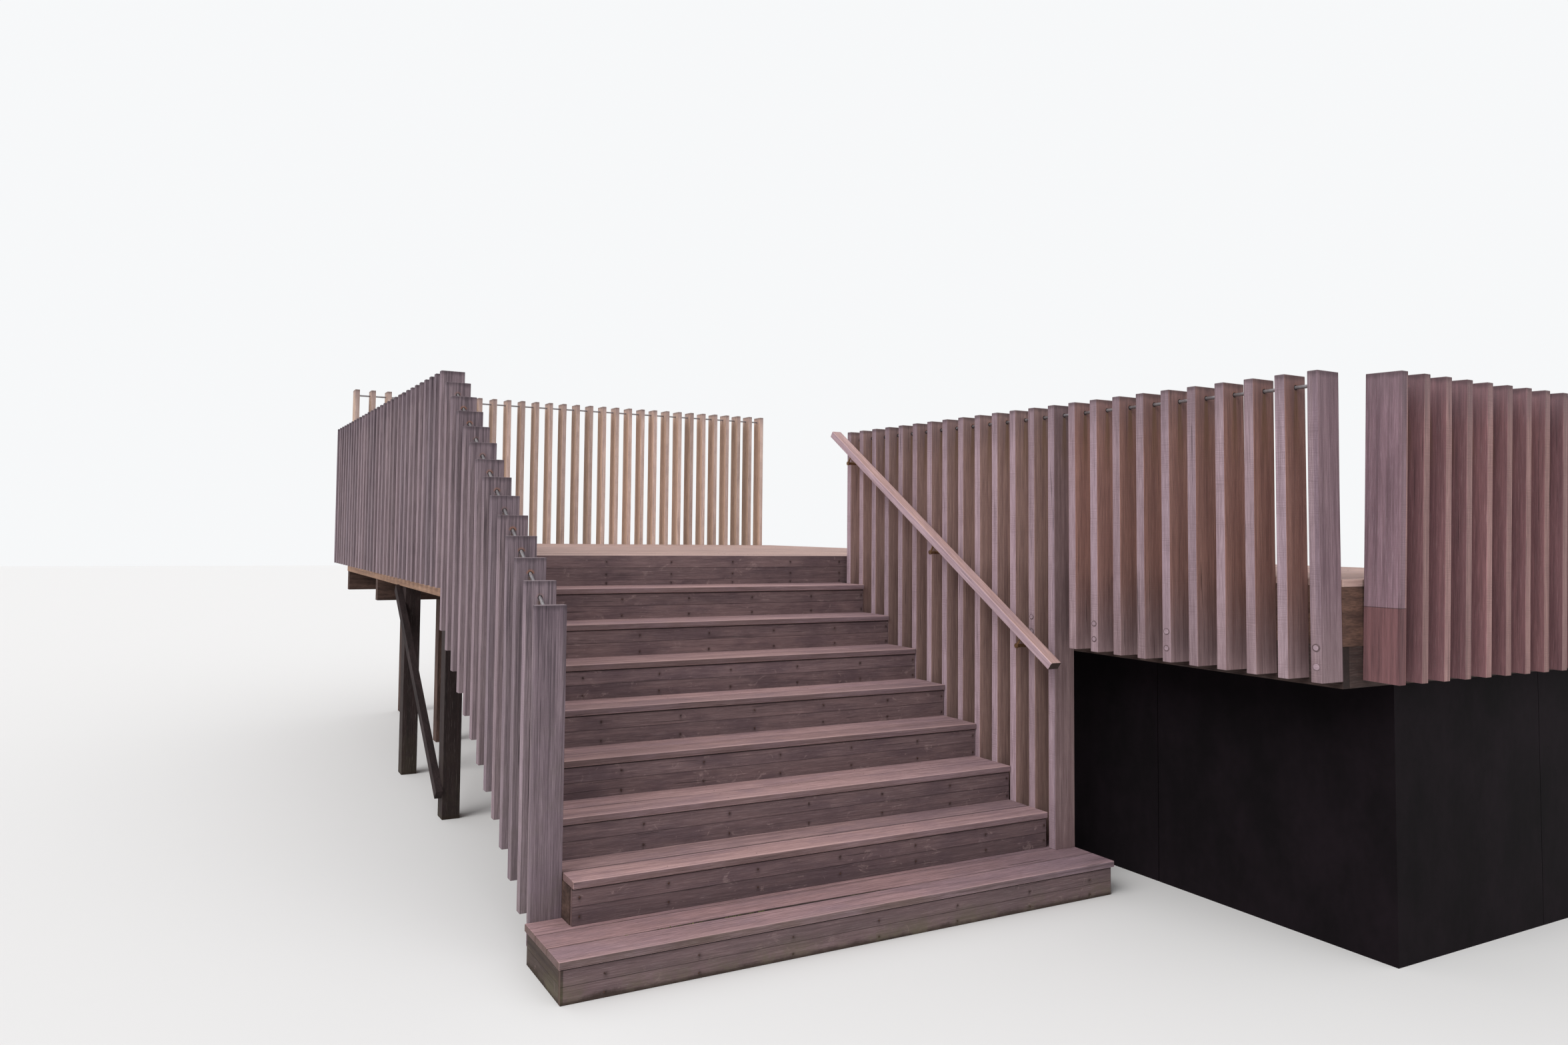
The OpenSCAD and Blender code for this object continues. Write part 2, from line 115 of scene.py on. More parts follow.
def feed(made, feeds):
    """Feeds a node's inputs, each with a wire or with a plain value."""
    for key, value in feeds.items():
        if isinstance(value, Wire):
            made.id_data.links.new(value.socket, made.inputs[key])
        else:
            made.inputs[key].default_value = value


def node(tree, kind, feeds=None, out=0, **settings):
    """Adds a node to a tree and gives the wire that leaves it."""
    made = tree.nodes.new(kind)
    for key, value in settings.items():
        setattr(made, key, value)
    feed(made, feeds or {})
    return Wire(made.outputs[out]) if made.outputs else None


def is_vector(value):
    """Whether a wire or a plain value is a vector or a colour."""
    return value.socket.type in ("VECTOR", "RGBA") if isinstance(value, Wire) else isinstance(value, tuple)


corners = [(x * floor_reach, y * floor_reach, 0) for x, y in ((-1, -1), (1, -1), (1, 1), (-1, 1))]
floor_mesh = bpy.data.meshes.new("Studio floor")
floor_mesh.from_pydata(corners, [], [(0, 1, 2, 3)])
floor = bpy.data.objects.new("Studio floor", floor_mesh)
scene.collection.objects.link(floor)
floor_paint = bpy.data.materials.new("Pale floor")
floor_paint.use_nodes = True
feed(floor_paint.node_tree.nodes["Principled BSDF"],
     {"Base Color": floor_colour, "Roughness": 0.9, "Specular IOR Level": 0.1})
floor_mesh.materials.append(floor_paint)

surround = bpy.data.worlds.new("Even surround")
surround.use_nodes = True
scene.world = surround
sky = surround.node_tree
sky.nodes.clear()
seen = node(sky, "ShaderNodeLightPath", out="Is Camera Ray")
for ray in ("Is Glossy Ray", "Is Transmission Ray"):
    seen = seen.then("MAXIMUM", node(sky, "ShaderNodeLightPath", out=ray))
soft_light = node(sky, "ShaderNodeBackground", {0: (0.97, 0.98, 1, 1), 1: 0.8})
white_back = node(sky, "ShaderNodeBackground", {0: (0.93, 0.94, 0.95, 1), 1: 1})
node(sky, "ShaderNodeOutputWorld",
     {0: node(sky, "ShaderNodeMixShader", {0: seen, 1: soft_light, 2: white_back})})

for label, strength, spread, towards in lamps:
    lamp = bpy.data.lights.new(label, "SUN")
    lamp.energy = strength
    lamp.angle = math.radians(spread)
    lamp_object = bpy.data.objects.new(label, lamp)
    lamp_object.rotation_euler = Vector(towards).to_track_quat("-Z", "Y").to_euler()
    scene.collection.objects.link(lamp_object)

# The base step is a low box of sawn boards that runs under both screens: three tread boards on a
# frame of rails, and two riser boards high round its front and ends, all nailed.
# Every board that shows is made by one rule, "Sawn timbers": a sawn length, a little bowed, twisted
# and uneven, that keeps inside the place its solid takes, with its edges eased.
base_front = ((113, 92, 94), (94, 76, 78))
base_top = ((171, 135, 137), (141, 110, 113))
# The base top turns greyer towards the right: partly damper wood, partly painted shade.
base_top_right_damp_and_shade = ((138, 118, 132), (112, 93, 106))
base_sides = ((116, 95, 92), (92, 75, 72))
base_dark = (62, 46, 46)
base_splits = (((-0.42, 0.0885, 0.172), (1.25, 95.0, 5.0)), ((1.07, 0.112, 0.175), (6.0, 270.0, 5.0)))
base_left_x = -1.516
base_nosing_y = -0.0545
base_nail_drop = 0.012
end_green = ((62, 53, 42), (40, 33, 28))
damp_green = (84, 82, 54)
soil_brown = (44, 33, 25)
step_rise = 0.19
step_going = 0.273
flight_slope = step_rise / step_going


def srgb(colour):
    """A colour read off a screen, turned into the light values that a shader takes."""
    return tuple(((c / 255 + 0.055) / 1.055) ** 2.4 if c > 10 else c / 255 / 12.92 for c in colour) + (1,)


def toned(colour, by):
    """A colour made darker or lighter."""
    return tuple(c * by for c in colour)


def soft_step(value, start, end, low=0.0, high=1.0):
    """Goes smoothly from low to high while the value goes from start to end."""
    return node(value.tree, "ShaderNodeMapRange", {0: value, 1: start, 2: end, 3: low, 4: high},
                interpolation_type="SMOOTHSTEP")


def fade(value, start, end, high=1.0):
    """Falls smoothly from high to nothing while the value goes from start to end."""
    return soft_step(value, start, end, high, 0.0)


def tint(amount, under, over, way="MIX"):
    """Lays one colour over another: wires, screen colours, or light values where they have four numbers."""
    under, over = (c if isinstance(c, Wire) or len(c) == 4 else srgb(c) for c in (under, over))
    return node(amount.tree, "ShaderNodeMix", {0: amount, 6: under, 7: over}, 2, data_type="RGBA",
                blend_type=way)


def noise(place, scale, detail=2.0, roughness=0.5, distortion=0.0, out=0):
    """Soft noise over a place."""
    feeds = {"Vector": place, "Scale": scale, "Detail": detail, "Roughness": roughness,
             "Distortion": distortion}
    return node(place.tree, "ShaderNodeTexNoise", feeds, out)


def tree_of(values):
    """The tree that the first wire among some values belongs to."""
    return next(value.tree for value in values if isinstance(value, Wire))


def join(x, y, z):
    """A vector of three numbers."""
    return node(tree_of((x, y, z)), "ShaderNodeCombineXYZ", {0: x, 1: y, 2: z})


def reach_of(vector):
    """How long a vector is."""
    return node(vector.tree, "ShaderNodeVectorMath", {0: vector}, "Value", operation="LENGTH")


def new_group(name, takes, gives, kind="Shader"):
    """An empty node group, its inputs by name, and what puts wires on its outputs.

    An input is given as the kind of its socket, or as the number that it starts from.
    """
    group = bpy.data.node_groups.new(name, kind + "NodeTree")
    for label, value in takes.items():
        socket = value if isinstance(value, str) else type(value).__name__.capitalize()
        made = group.interface.new_socket(label, in_out="INPUT", socket_type="NodeSocket" + socket)
        if not isinstance(value, str):
            made.default_value = value
    for label in gives:
        group.interface.new_socket(label, in_out="OUTPUT",
                                   socket_type="NodeSocket" + ("Float" if kind == "Shader" else "Geometry"))
    given = {socket.name: Wire(socket) for socket in group.nodes.new("NodeGroupInput").outputs}
    result = group.nodes.new("NodeGroupOutput")
    return group, given, lambda **wires: feed(result, wires)


def stored(geometry, name, value):
    """Keeps a vector on every point of a shape under a name, for the finishes to read."""
    feeds = {"Geometry": geometry, "Name": name, "Value": value}
    return node(geometry.tree, "GeometryNodeStoreNamedAttribute", feeds, data_type="FLOAT_VECTOR",
                domain="POINT")


def named(tree, name):
    """Reads a vector kept under a name."""
    return node(tree, "GeometryNodeInputNamedAttribute", {"Name": name}, data_type="FLOAT_VECTOR")


def made_of(geometry, material):
    """Turns instances into real faces and gives them their material."""
    real = node(geometry.tree, "GeometryNodeRealizeInstances", {0: geometry})
    return node(geometry.tree, "GeometryNodeSetMaterial", {"Geometry": real, "Material": material})


sawn, given, give = new_group("Sawn timbers", {
    "Middles": "Geometry", "Cuts": 9, "Unevenness": 0.001, "Bow": 0.002, "Twist": 0.01,
    "Low corner": "Vector", "High corner": "Vector", "Seed": 1, "Timber": "Material"},
    ("Timbers",), "Geometry")
luck = node(sawn, "FunctionNodeRandomValue", {"Seed": given["Seed"]}, data_type="FLOAT_VECTOR")
where = node(sawn, "GeometryNodeInputPosition")
length = node(sawn, "GeometryNodeMeshCube", {"Size": (1, 1, 1), "Vertices X": 2, "Vertices Y": 2,
                                             "Vertices Z": given["Cuts"]})
board_size, board_turn, board_mix, unit_place = (
    named(sawn, fact) for fact in ("board_size", "board_turn", "board_mix", "unit_place"))
turn = node(sawn, "FunctionNodeEulerToRotation", {0: board_turn})
middles = stored(given["Middles"], "board_mix", luck)
length = stored(length, "unit_place", where)
laid = node(sawn, "GeometryNodeInstanceOnPoints",
            {"Points": middles, "Instance": length, "Rotation": turn, "Scale": board_size})
laid = node(sawn, "GeometryNodeRealizeInstances", {0: laid})
place = unit_place * board_size
laid = stored(laid, "board_place", place)
thick, wide, along = place.parts
step = unit_place.parts[2]
mix_x, mix_y, mix_z = board_mix.parts
belly = (step * step * -4.0 + 1.0) * given["Bow"]
wander = noise(board_mix * 60.0 + join(0.0, 0.0, along), 1.3, out="Color")
sway = ((wander - (0.5, 0.5, 0.5)) * given["Unevenness"] * 2.0).parts
angle = step * given["Twist"] * (mix_z * 4.0 - 2.0)
move_x = belly * (mix_x * 2.0 - 1.0) + sway[0] - wide * angle
move_y = belly * (mix_y - 0.5) + sway[1] + thick * angle
shift = node(sawn, "FunctionNodeRotateVector", {"Vector": join(move_x, move_y, 0.0), "Rotation": turn})
laid = node(sawn, "GeometryNodeSetPosition", {"Geometry": laid, "Offset": shift})
kept = where.then("MAXIMUM", given["Low corner"]).then("MINIMUM", given["High corner"])
laid = node(sawn, "GeometryNodeSetPosition", {"Geometry": laid, "Position": kept})
give(Timbers=made_of(laid, given["Timber"]))


def boards_in(name, lean=0.0):
    """The middle, size and turn of every board in a solid that leans back by an angle about X."""
    solid = bmesh.new()
    solid.from_mesh(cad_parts[name].data)
    bmesh.ops.remove_doubles(solid, verts=solid.verts, dist=2e-5)
    tilt = Matrix.Rotation(lean, 3, "X")
    boards, done = [], set()
    for first in solid.verts:
        if first in done:
            continue
        done.add(first)
        corners, queue = [], [first]
        while queue:
            corner = queue.pop()
            corners.append(tilt.inverted() @ corner.co)
            for edge in corner.link_edges:
                other = edge.other_vert(corner)
                if other not in done:
                    done.add(other)
                    queue.append(other)
        low = Vector(min(c[i] for c in corners) for i in range(3))
        high = Vector(max(c[i] for c in corners) for i in range(3))
        size = high - low
        order = sorted(range(3), key=lambda i: size[i])
        axes = [Vector((i == order[j] for i in range(3))) for j in range(3)]
        if Matrix(axes).determinant() < 0:
            axes[0] = -axes[0]
        turned = tilt @ Matrix(axes).transposed()
        boards.append((tilt @ ((low + high) / 2), Vector(size[i] for i in order), turned.to_euler()))
    solid.free()
    return boards


def points_for(name, tree, inputs, spots, facts):
    """A bare set of points that carries named facts, with the Geometry Nodes tree that builds on it."""
    mesh = bpy.data.meshes.new(name)
    mesh.from_pydata(spots, [], [])
    for label, values in facts.items():
        mesh.attributes.new(label, "FLOAT_VECTOR", "POINT").data.foreach_set(
            "vector", [number for value in values for number in value])
    piece = bpy.data.objects.new(name, mesh)
    scene.collection.objects.link(piece)
    modifier = piece.modifiers.new(tree.name, "NODES")
    modifier.node_group = tree
    sockets = {s.name: s.identifier for s in tree.interface.items_tree if s.in_out == "INPUT"}
    for label, value in inputs.items():
        modifier[sockets[label]] = value
    return piece


def set_in_place(piece, slot, *nodes):
    """Makes a piece a plain mesh, fixes it to the structure, and hides the solids it stands for."""
    if piece.modifiers:
        graph = bpy.context.evaluated_depsgraph_get()
        made = bpy.data.meshes.new_from_object(piece.evaluated_get(graph), preserve_all_data_layers=True,
                                               depsgraph=graph)
        piece.modifiers.clear()
        piece.data = made
    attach(piece, "root")
    if nodes:
        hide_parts(*nodes)


def sawn_boards(name, nodes, finish, slot, cuts, ease, seed, uneven=0.001, bow=0.001, twist=0.001,
                swell=0.0, lean=0.0, longer=None):
    """Replaces CAD nodes by boards of the same places, sawn, swollen across, eased and finished.

    Boards that lie further back than the first number of longer are longer to the right by its second.
    """
    boards = [board for n in nodes for board in boards_in(n, lean)]
    corners = [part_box(n) for n in nodes]
    low = Vector(min(c[0][i] for c in corners) for i in range(3))
    high = Vector(max(c[1][i] for c in corners) for i in range(3))
    for middle, size, turned in boards:
        size.y += swell
        if longer and middle.y > longer[0]:
            size.z += longer[1]
            middle.x += longer[1] / 2
            high.x = middle.x + size.z / 2
    inputs = {"Cuts": cuts, "Unevenness": uneven, "Bow": bow, "Twist": twist, "Low corner": tuple(low),
              "High corner": tuple(high), "Seed": seed, "Timber": finish}
    facts = {"board_size": [b[1] for b in boards], "board_turn": [tuple(b[2]) for b in boards]}
    piece = points_for(name, sawn, inputs, [b[0] for b in boards], facts)
    eased = piece.modifiers.new("Eased edges", "BEVEL")
    eased.width = ease
    eased.segments = 2
    eased.limit_method = "ANGLE"
    eased.angle_limit = math.radians(50)
    set_in_place(piece, slot, *nodes)


# The colours are read off a picture taken at dusk, so each finish gives back part of the violet cast
# and is a little lighter.
colour_kept = 0.93
lift = 1.1

# Which face of a board a spot is on: wide side, sawn end or eased edge.
on_face = 0.0006
board_face, given, give = new_group("Board face", {"Place": "Vector", "Size": "Vector", "Edge width": 0.006},
                                    ("Wide", "End", "Edge"))
gaps = (given["Size"] * 0.5 - abs(given["Place"])).parts
near_x, near_y, near_z = (fade(gap, 0.0, given["Edge width"]) for gap in gaps)
give(Wide=gaps[0] < on_face, End=gaps[2] < on_face,
     Edge=(near_x * near_y).then("MAXIMUM", near_z * near_x.then("MAXIMUM", near_y)))

# Long grain of a sawn board: broad streaks, growth rings cut lengthwise, fine fibres and checks.
grain, given, give = new_group("Long grain", {"Place": "Vector", "Mix": "Vector", "Streaks per metre": 42.0},
                               ("Streak", "Ring", "Fibre", "Check", "Patch", "Line"))
place, mix = given["Place"], given["Mix"]
moved = place + mix * 9.0
heart = mix * (0.16, 0.2, 0) - (0.08, 0.1, 0) + join(place.parts[2] * 0.035, 0.0, 0.0)
rings = node(grain, "ShaderNodeTexWave",
             {"Vector": place * (1, 1, 0.05) + heart, "Scale": 30.0, "Distortion": 6.0, "Detail": 3.0,
              "Detail Scale": 9.0, "Detail Roughness": 0.6}, "Fac",
             wave_type="RINGS", rings_direction="Z", wave_profile="SIN")
give(Streak=noise(moved * (1, 1, 0.04), given["Streaks per metre"], 6.0, 0.66),
     Ring=soft_step(rings, 0.45, 1.0),
     Fibre=noise(moved * (1, 1, 0.02), 480.0, 3.0, 0.7),
     Check=fade(noise(moved * (1, 1, 0.018), 110.0), 0.27, 0.31),
     Patch=soft_step(noise(moved * (1, 1, 0.4), 7.0, 5.0, 0.6), 0.42, 0.66),
     Line=noise(moved * (1, 1, 0.008), 170.0, 4.0, 0.72))

# Knots: dark ringed ovals, some way apart along a board, each with a darker rim.
knots, given, give = new_group("Knots", {"Place": "Vector", "Mix": "Vector", "Knots per metre": 3.0,
                                         "Radius": 0.012}, ("Knot", "Rim"))
spread = given["Place"] * (0.02, 1, 0.7) + given["Mix"] * 13.0
apart = node(knots, "ShaderNodeTexVoronoi", {"Vector": spread, "Scale": given["Knots per metre"]})
ragged = (noise(given["Place"], 110.0) - 0.5) * 0.009
share = (apart / given["Knots per metre"] + ragged) / given["Radius"]
give(Knot=fade(share, 0.6, 1.3), Rim=fade(abs(share - 0.9), 0.0, 0.35))

# Green growth on timber near the ground, patchy and thicker low down, and soil splashed on its foot.
algae, given, give = new_group("Green growth", {"Spot": "Vector", "Amount": 0.5, "Reach": 0.3},
                               ("Green", "Soil"))
patchy = noise(given["Spot"], 6.0, 7.0, 0.72)
height = given["Spot"].parts[2]
low_down = node(algae, "ShaderNodeMapRange", {0: height, 1: 0.0, 2: given["Reach"], 3: 1.0, 4: 0.0})
give(Green=soft_step(patchy, 0.4, 0.66) * low_down * given["Amount"],
     Soil=fade(height + (patchy - 0.5) * 0.07, 0.002, 0.03, 0.85))

# The stain round a nail: how near a spot is to one of the seven lines of nails across the flight.
nail_lines = (-1.335, -0.912, -0.4495, 0.013, 0.4755, 0.938, 1.352)
nail_stain, given, give = new_group("Nail stain", {"Spot": "Vector", "Place": "Vector", "Drop": 0.0},
                                    ("Stain",))
spot_x = given["Spot"].parts[0]
nearest = abs(spot_x - nail_lines[0])
for line in nail_lines[1:]:
    nearest = nearest.then("MINIMUM", abs(spot_x - line))
height = given["Place"].parts[1] + given["Drop"]
height = height * ((height > 0.0) * 0.7 + 0.6)
away = reach_of(join(nearest, height, 0.0)) + (noise(given["Spot"], 70.0, 3.0) - 0.5) * 0.016
give(Stain=fade(away, 0.001, 0.009, 0.62) + fade(away, 0.004, 0.02, 0.38))

# Band-saw lines across a rough face, closer and clearer in some stretches than in others.
saw_lines, given, give = new_group("Band-saw lines", {"Place": "Vector", "Mix": "Vector"}, ("Line",))
turned = given["Place"] * (0.1, 0.06, 1) + given["Mix"] * 3.0
lines = node(saw_lines, "ShaderNodeTexWave",
             {"Vector": turned, "Scale": 38.0, "Distortion": 12.0, "Detail": 4.0, "Detail Scale": 1.1}, "Fac",
             wave_type="BANDS", bands_direction="Z")
give(Line=lines * soft_step(noise(turned * (60, 60, 7), 1.0, 3.0), 0.35, 0.65))

# Rain and rust on an upright fin: a grey-purple damp head, dark drips below its cut top, painted shade in
# the hole that the rod goes through, the rust over it and the run of stain below.
rod_hole_r = 0.0098
weather, given, give = new_group("Fin weather", {
    "Place": "Vector", "Size": "Vector", "Mix": "Vector", "Across": 1.0, "Above": 1.0, "Damp reach": 0.14,
    "Drip reach": 0.5}, ("Damp", "Head", "Drip", "Hole", "Rust", "Run"))
across, above = given["Across"], given["Above"]
below_top = given["Size"].parts[2] * 0.5 - given["Place"].parts[2]
moved = given["Place"] + given["Mix"] * 5.0
uneven = noise(moved * (1, 1, 0.12), 26.0, 5.0, 0.65) - 0.5
drip = noise(moved * (1, 1, 0.02), 95.0, 4.0, 0.6)
drip_reach = given["Drip reach"] * soft_step(noise(moved * (1, 1, 0.01), 60.0), 0.3, 0.7, 0.15)
from_rod = reach_of(join(across, above, 0.0))
beside = (abs(across) + (drip - 0.5) * 0.02) / (above * -0.05 + 0.01)
fall = fade(above, -0.02, -0.004) * soft_step(above, -0.42, -0.03)
give(Damp=fade(below_top / given["Damp reach"] + uneven * -2.2, 0.1, 1.6),
     Head=fade(below_top + uneven * 0.05, 0.004, 0.03),
     Drip=soft_step(drip, 0.46, 0.6) * fade(below_top / drip_reach, 0.3, 1.2),
     Hole=fade(from_rod, rod_hole_r, 0.0125),
     Rust=fade(from_rod, 0.013, 0.026) * soft_step(above, -0.004, 0.006),
     Run=fade(beside, 0.5, 1.5) * fall)


def use(group, feeds):
    """Places a shader group in a material and gives its outputs by name."""
    made = node(tree_of(feeds.values()), "ShaderNodeGroup", node_tree=group).socket.node
    feed(made, feeds)
    return {socket.name: Wire(socket) for socket in made.outputs}


def new_finish(name, **plain):
    """A new material, its shader with some plain values set, and the place of each spot on the piece."""
    finish = bpy.data.materials.new(name)
    finish.use_nodes = True
    shader = finish.node_tree.nodes["Principled BSDF"]
    feed(shader, {key.replace("_", " "): value for key, value in plain.items()})
    return finish, shader, node(finish.node_tree, "ShaderNodeTexCoord", out="Object")


timber_shine = 0.22
tread_under_z = 0.143
top_riser_z = 1.6


def timber_finish(name, wide, dark, narrow=None, knot_rate=2.0, knot_size=0.012, ring=0.16, lines=0.24,
                  patch=None, patch_share=0.5, side=None, foot=None, saw=0.0, scuffs=0.0, nails=None,
                  splice=None, splits=(), rod=None, damp=None, damp_share=0.6, damp_reach=0.14, drips=0.0,
                  drip_reach=0.5, runs=0.5, rust=0.2, nosing=None, worn=None, wear=0.5, edge=0.006,
                  gap_dark=0.0, painted_nose_shadow=0.0, green=0.0, green_reach=0.3, end=None, end_share=0.55):
    """A weathered timber finish. Colours are pairs, pale and dark, for a board's wide and narrow sides."""
    finish, shader, spot = new_finish(name, Specular_IOR_Level=timber_shine)
    tree = finish.node_tree
    place, size, mix = (node(tree, "ShaderNodeAttribute", out="Vector", attribute_name="board_" + label)
                        for label in ("place", "size", "mix"))
    face = use(board_face, {"Place": place, "Size": size, "Edge width": edge})
    long_grain = use(grain, {"Place": place, "Mix": mix})
    luck_tone, luck_warm, luck_rust = mix.parts
    spot_x, spot_y, spot_z = spot.parts

    # Bare wood: streaked, of another colour on its narrow sides, on one side or at its foot; on some finishes
    # these side and foot colours are painted shade or light.
    streak = soft_step(long_grain["Streak"], 0.28, 0.72)
    colour = tint(streak, wide[1], wide[0])

    def lay(amount, over):
        """Lays a colour over what is there so far."""
        nonlocal colour
        colour = tint(amount, colour, over)

    if narrow:
        colour = tint(face["Wide"], tint(streak, narrow[1], narrow[0]), colour)
    if side:
        axis, middle, softness, pale_side, dark_side, side_share = side
        on_side = fade(spot.parts[axis], middle - softness, middle + softness, side_share)
        lay(on_side, tint(streak, dark_side, pale_side))
    if foot:
        foot_reach, pale_foot, dark_foot = foot
        above_foot = size.parts[2] * 0.5 + place.parts[2] + long_grain["Streak"] * -0.3
        lay(fade(above_foot, -0.15, foot_reach - 0.15, 0.8), tint(streak, dark_foot, pale_foot))

    # Grain over it, and each board a little darker, lighter or warmer than the next.
    if patch:
        lay(long_grain["Patch"] * patch_share, patch)
    lay(long_grain["Ring"] * ring, dark)
    lay(fade(long_grain["Line"], 0.36, 0.52, lines), dark)
    lay(soft_step(long_grain["Line"], 0.54, 0.74, 0.0, lines * 0.4), toned(wide[0], 1.14))
    lay(fade(long_grain["Fibre"], 0.4, 0.6, 0.28), dark)
    lay(soft_step(long_grain["Fibre"], 0.56, 0.76, 0.0, 0.09), (1, 0.93, 0.9, 1))
    colour = colour * (luck_tone * 0.3 + 0.84)
    colour = tint(luck_warm * 0.5, colour, (1.04, 0.98, 0.92, 1), "MULTIPLY")
    relief = long_grain["Fibre"] * 0.6 + long_grain["Ring"] * -0.3 + long_grain["Check"] * -0.9

    # What the saw, shoes, nails and a joiner left on it.
    if saw:
        cut = use(saw_lines, {"Place": place, "Mix": mix})["Line"] * (1.0 - face["Wide"] * 0.75)
        lay(cut * (0.34 * saw), dark)
        relief = relief + cut * (-0.4 * saw)
    if scuffs:
        brushed = noise(spot * (1, 1, 1.5), 9.0, 4.0, 0.7, 1.2)
        scraped = noise(place * (1, 1, 0.03), 240.0, 1.0)
        broad = soft_step(brushed, 0.6, 0.7) * soft_step(scraped, 0.35, 0.6, 0.35)
        thin = soft_step(scraped, 0.68, 0.74) * soft_step(brushed, 0.45, 0.6)
        lay(broad.then("MAXIMUM", thin) * scuffs, (176, 150, 146))
    marks = use(knots, {"Place": place, "Mix": mix, "Knots per metre": knot_rate, "Radius": knot_size})
    lay(marks["Knot"] * 0.6, dark)
    lay(marks["Rim"] * 0.55, toned(dark, 0.5))
    if nails is not None:
        stain = use(nail_stain, {"Spot": spot, "Place": place, "Drop": nails})["Stain"]
        lay(stain * 0.85, (44, 31, 30))
    if splice:
        limit_x, limit_z, new_colour = splice
        on_board = spot_x < limit_x
        fresh = on_board * (spot_z < limit_z)
        lay(fresh * 0.85, tint(streak, new_colour[1], new_colour[0]))
        line = fade(abs(spot_z - limit_z), 0.0005, 0.002) * on_board
        lay(line * 0.8, (30, 20, 20))
    for middle, stretch in splits:
        off = spot - middle + join(0.0, long_grain["Streak"] * 0.016 - 0.008, 0.0)
        torn = fade(reach_of(off * stretch), 0.6, 1.0, 0.92)
        lay(torn, (34, 26, 22))
        relief = relief + torn * -3.0

    # Rain and rust with painted shade in the rod hole, wear, the painted shadow line under a nosing, green
    # and soil, and the sawn ends.
    if damp:
        across, above = rod(spot) if rod else (1.0, 1.0)
        wet = use(weather, {"Place": place, "Size": size, "Mix": mix, "Across": across, "Above": above,
                            "Damp reach": damp_reach, "Drip reach": drip_reach})
        lay(wet["Damp"] * damp_share, damp)
        lay(wet["Head"] * 0.55, toned(damp, 0.6))
        lay(wet["Drip"] * drips, toned(damp, 0.62))
        lay(wet["Run"] * runs, (112, 84, 46))
        rusty = wet["Rust"] * soft_step(luck_rust, 0.35, 0.85, 0.25)
        lay(rusty * rust, (150, 92, 46))
        # The ring round the rod is painted dark: painted shade inside the hole.
        lay(wet["Hole"], (26, 19, 18))
        relief = relief + wet["Hole"] * -3.0
    if nosing:
        back = (spot_y - nosing[0]) % nosing[1] + (long_grain["Line"] - 0.5) * 0.05
        at_front = fade(back, 0.012, 0.03)
        front_zone = fade(back, 0.004, 0.045) * face["Wide"]
        lay(front_zone * (wear * 0.5), worn)
        lay(face["Edge"] * at_front * wear, toned(worn, 1.1))
        lay(face["Edge"] * (1.0 - at_front) * gap_dark, toned(dark, 0.6))
    elif worn:
        lay(face["Edge"] * wear, worn)
    # A dark line just under each nosing of the flight: painted shadow.
    if painted_nose_shadow:
        below = (spot_z - tread_under_z).then("PINGPONG", step_rise / 2) + (spot_z > top_riser_z)
        lay(fade(below, 0.005, 0.011, painted_nose_shadow), (26, 18, 18))
    if green:
        growth = use(algae, {"Spot": spot, "Amount": green, "Reach": green_reach})
        lay(growth["Green"], damp_green)
        lay(growth["Soil"], soil_brown)
    lay(long_grain["Check"] * 0.6, toned(dark, 0.4))
    lay(face["End"] * end_share, end or dark)

    kept_colour = {"Color": colour, "Saturation": colour_kept, "Value": lift}
    fibre_rough = {0: long_grain["Fibre"], 1: 0.3, 2: 0.7, 3: 0.72, 4: 0.95}
    depth = {"Height": relief, "Distance": 0.0011, "Strength": 0.7}
    feed(shader, {"Base Color": node(tree, "ShaderNodeHueSaturation", kept_colour),
                  "Roughness": node(tree, "ShaderNodeMapRange", fibre_rough),
                  "Normal": node(tree, "ShaderNodeBump", depth)})
    return finish


# The base riser is dark just under the base nosing: painted shadow.
base_riser_finish = timber_finish(
    "Base riser timber", base_front, base_dark, knot_rate=4.5, knot_size=0.013, patch=(88, 74, 76),
    nails=base_nail_drop, scuffs=0.15, worn=(54, 41, 40), edge=0.003, painted_nose_shadow=0.95, green=0.6,
    green_reach=0.11, end=(84, 64, 58), side=(0, base_left_x, 0.001, *end_green, 0.9))
# The base tread greys towards the right: partly damp wood, partly painted shade.
base_tread_finish = timber_finish(
    "Base tread timber", base_top, base_dark, base_sides, knot_size=0.01, ring=0.26, lines=0.4,
    patch=(134, 110, 120), green=0.08, green_reach=0.5, splits=base_splits, worn=(184, 150, 148), wear=0.3,
    nosing=(base_nosing_y, 5.0), gap_dark=0.3, edge=0.004, end=(84, 64, 56),
    side=(0, 0.8, -0.7, *base_top_right_damp_and_shade, 0.6))
sawn_boards("base_riser_boards", ["base_step_risers"], base_riser_finish, "riser_wood",
            cuts=12, uneven=0.0006, bow=0.0006, ease=0.0015, seed=1, swell=0.0036)
sawn_boards("base_tread_boards", ["base_step_tread"], base_tread_finish, "tread_wood",
            cuts=14, uneven=0.0006, bow=0.0005, ease=0.004, seed=2, swell=0.003)

# Moss and rotted leaf fill the gap behind the front board, in an uneven line just under its top: small
# clumps, set on a straight line, then moved about and left out in the bare stretches.
litter_from_x = -1.2
litter_to_x = 0.34
litter_sunk = 0.003
litter, given, give = new_group("Gap litter", {
    "Start": "Vector", "End": "Vector", "Count": 300, "Clump size": 0.004, "Seed": 1, "Litter": "Material"},
    ("Clumps",), "Geometry")


def chance(low, high):
    """A random vector for each point of the litter."""
    return node(litter, "FunctionNodeRandomValue", {0: low, 1: high, "Seed": given["Seed"]},
                data_type="FLOAT_VECTOR")


